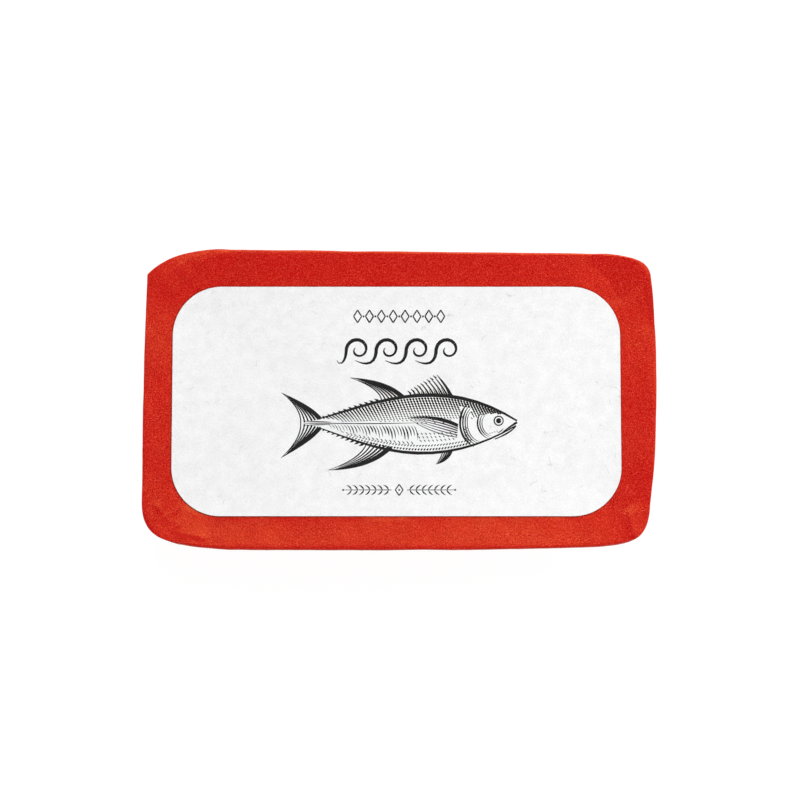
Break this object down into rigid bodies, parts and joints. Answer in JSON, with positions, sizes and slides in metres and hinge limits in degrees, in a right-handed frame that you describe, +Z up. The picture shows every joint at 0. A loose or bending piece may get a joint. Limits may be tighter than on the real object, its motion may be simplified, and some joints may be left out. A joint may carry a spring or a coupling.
{
  "type": "paper-wrapped tuna can",
  "caption": "Flat oblong fish tin, shut and wrapped in red paper with folded ends, with a white round-cornered paper label on its top.",
  "frame": {"origin": "middle of the tin's outline, on the surface that it rests on", "axes": "+X along the tin's length, +Y across it to the side that is at the top of the label, +Z up through the label"},
  "size_m": [0.1064, 0.0622, 0.024],
  "materials": {
    "red_paper": "satin red paper with a fine pearly grain",
    "label_paper": "matt white recycled paper with fine grey fibres, printed in black"
  },
  "bodies": {
    "root": {"wrapped_tin": "red_paper", "label": "label_paper"}
  },
  "joints": []
}
